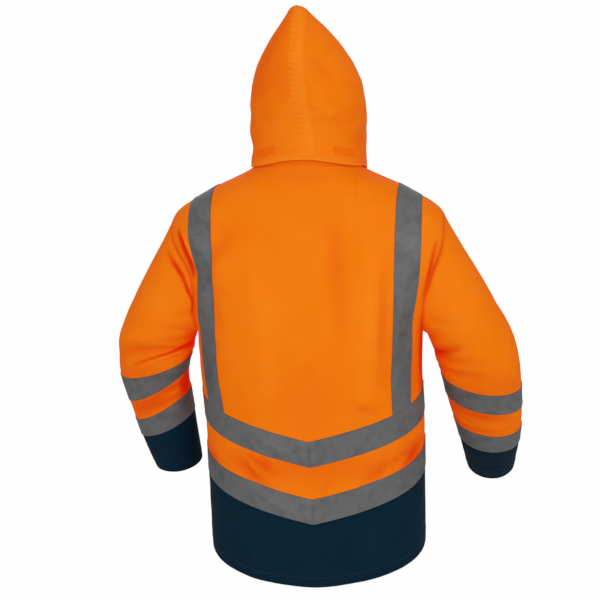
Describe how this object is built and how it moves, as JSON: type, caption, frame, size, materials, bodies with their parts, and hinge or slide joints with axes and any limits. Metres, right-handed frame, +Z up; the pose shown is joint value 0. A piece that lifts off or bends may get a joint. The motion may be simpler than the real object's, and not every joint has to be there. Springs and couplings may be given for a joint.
{
  "type": "hooded work jacket",
  "caption": "Hip-length high-visibility work jacket with reflective tape, raised hood, chevron bands and a closed front zip, posed hollow as if worn.",
  "frame": {"origin": "middle of the neck, level with the collar seam at the centre back, where a wearer's neck or a stand holds the jacket", "axes": "+Z up, the front faces -Y, the wearer's left is +X"},
  "size_m": [0.8253, 0.3745, 1.084],
  "materials": {
    "black_tape": "black woven zip tape",
    "dark_metal": "dark coated zinc",
    "hook_tape": "orange loop pile",
    "navy_cloth": "coated woven polyester, dark navy, matt",
    "orange_cloth": "coated woven polyester, fluorescent orange, matt",
    "reflective_tape": "grey glass-bead reflective tape on cloth"
  },
  "bodies": {
    "garment": {"back_hem": "navy_cloth", "back_panel": "orange_cloth", "brace_back_left": "reflective_tape", "brace_back_right": "reflective_tape", "brace_front_left": "reflective_tape", "brace_front_right": "reflective_tape", "collar": "orange_cloth", "cuff_left": "navy_cloth", "cuff_right": "navy_cloth", "front_hem_left": "navy_cloth", "front_hem_right": "navy_cloth", "front_left": "orange_cloth", "front_right": "orange_cloth", "hood_left": "orange_cloth", "hood_right": "orange_cloth", "hook_tab_left": "hook_tape", "hook_tab_right": "hook_tape", "sleeve_left": "orange_cloth", "sleeve_right": "orange_cloth", "sleeve_tape_lower_left": "reflective_tape", "sleeve_tape_lower_right": "reflective_tape", "sleeve_tape_upper_left": "reflective_tape", "sleeve_tape_upper_right": "reflective_tape", "tape_lower_back_left": "reflective_tape", "tape_lower_back_right": "reflective_tape", "tape_lower_front_left": "reflective_tape", "tape_lower_front_right": "reflective_tape", "tape_upper_back_left": "reflective_tape", "tape_upper_back_right": "reflective_tape", "tape_upper_front_left": "reflective_tape", "tape_upper_front_right": "reflective_tape", "zip_left": "black_tape", "zip_right": "black_tape", "zip_slider": "dark_metal"},
    "zip_pull": {"zip_pull": "dark_metal"}
  },
  "joints": [
    {"name": "pull_swing", "type": "hinge", "parent": "garment", "child": "zip_pull", "pos_m": [0, -0.12167, -0.01449], "axis": [-1, 0, 0], "range_deg": [0, 160]}
  ]
}
